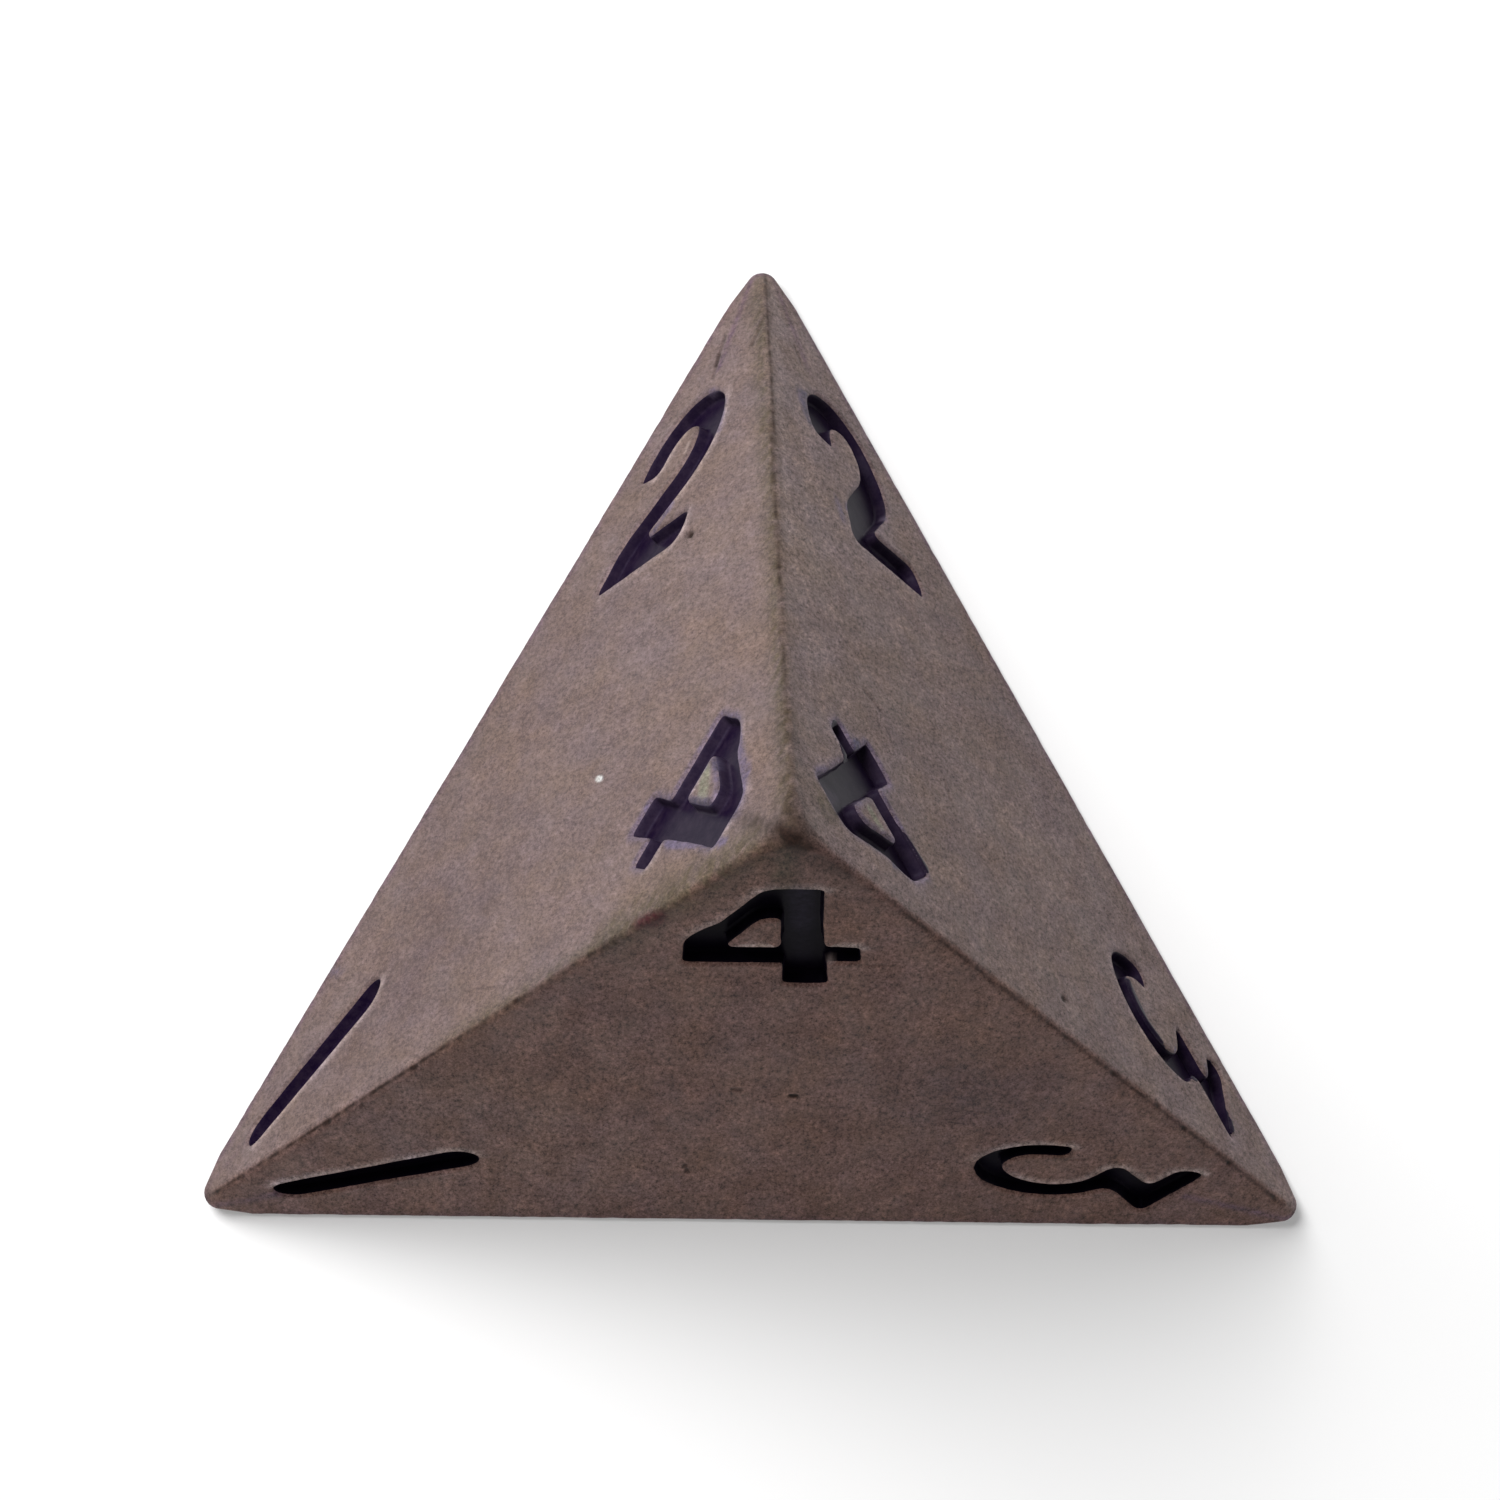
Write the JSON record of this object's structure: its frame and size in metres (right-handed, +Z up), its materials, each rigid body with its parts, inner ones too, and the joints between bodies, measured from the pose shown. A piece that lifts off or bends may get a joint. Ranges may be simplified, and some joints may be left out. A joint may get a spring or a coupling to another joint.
{
  "type": "polyhedral die",
  "caption": "Tetrahedral gaming die of cast metal with slightly rounded edges and sunk, paint-filled numerals, rolled to show the numeral upright at its top corner.",
  "frame": {"origin": "centre of the base face that the die rests on", "axes": "+Z up through the top corner, -Y out of the front edge of the base face, +X to the right"},
  "size_m": [0.0192, 0.0167, 0.0157],
  "materials": {
    "cast_metal": "satin, blasted cast zinc alloy with a warm grey plating",
    "numeral_paint": "glossy blue-black enamel"
  },
  "bodies": {
    "root": {"die_body": "cast_metal", "paint_4_front": "numeral_paint", "paint_4_left": "numeral_paint", "paint_4_right": "numeral_paint", "paint_1_front": "numeral_paint", "paint_1_left": "numeral_paint", "paint_1_base": "numeral_paint", "paint_2_left": "numeral_paint", "paint_2_right": "numeral_paint", "paint_2_base": "numeral_paint", "paint_3_front": "numeral_paint", "paint_3_right": "numeral_paint", "paint_3_base": "numeral_paint"}
  },
  "joints": []
}
